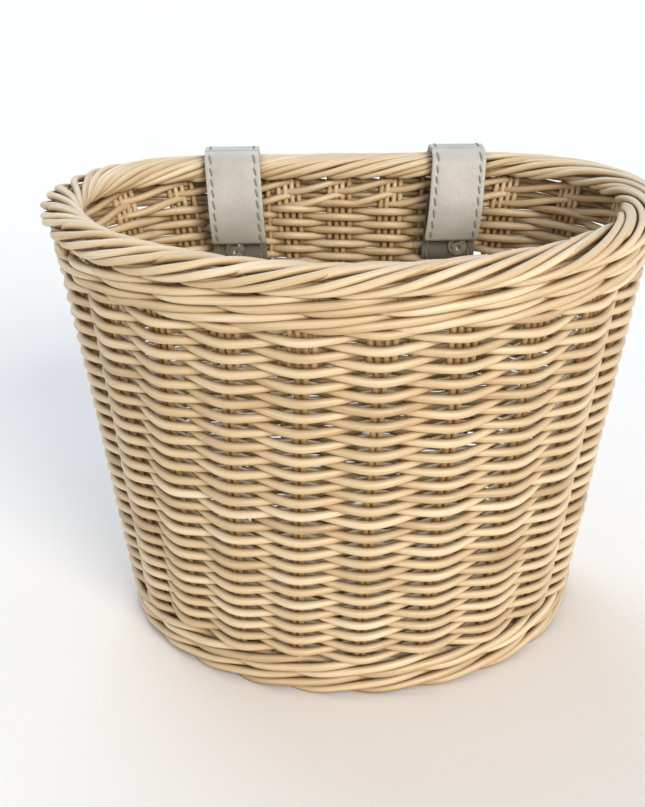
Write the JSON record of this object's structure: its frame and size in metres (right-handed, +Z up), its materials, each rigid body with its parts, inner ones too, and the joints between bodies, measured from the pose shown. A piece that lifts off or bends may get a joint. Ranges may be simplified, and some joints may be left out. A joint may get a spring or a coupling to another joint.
{
  "type": "handlebar basket",
  "caption": "Small D-shaped woven wicker basket with a rolled rim, hung from a bicycle handlebar by two stitched leatherette straps.",
  "frame": {"origin": "middle of the overall footprint, on the surface that the basket stands on", "axes": "+X along the handlebar, +Y from the rounded front to the straight back where the straps are, +Z up"},
  "size_m": [0.21, 0.186, 0.1628],
  "materials": {
    "wicker": "satin",
    "leatherette": "satin",
    "lining": "matte",
    "thread": "matte",
    "metal": "polished"
  },
  "bodies": {
    "basket": {"base_sticks": "wicker", "base_weave": "wicker", "main_stakes": "wicker", "border_stakes": "wicker", "foot_border": "wicker", "lower_wale": "wicker", "side_weave": "wicker", "upper_wale": "wicker", "rolled_border": "wicker", "left_loop_face": "leatherette", "left_loop_lining": "lining", "left_loop_seams": "thread", "left_tail_studs": "metal", "left_stud_posts": "metal", "right_loop_face": "leatherette", "right_loop_lining": "lining", "right_loop_seams": "thread", "right_tail_studs": "metal", "right_stud_posts": "metal"},
    "left_flap": {"left_flap_face": "leatherette", "left_flap_lining": "lining", "left_flap_seams": "thread", "left_flap_socket": "metal", "left_socket_rivet": "metal"},
    "right_flap": {"right_flap_face": "leatherette", "right_flap_lining": "lining", "right_flap_seams": "thread", "right_flap_socket": "metal", "right_socket_rivet": "metal"}
  },
  "joints": [
    {"name": "left_flap_lift", "type": "hinge", "parent": "basket", "child": "left_flap", "pos_m": [-0.042, 0.04946, 0.15877], "axis": [-1, 0, 0], "range_deg": [0, 150]},
    {"name": "right_flap_lift", "type": "hinge", "parent": "basket", "child": "right_flap", "pos_m": [0.042, 0.04946, 0.15877], "axis": [-1, 0, 0], "range_deg": [0, 150]}
  ]
}
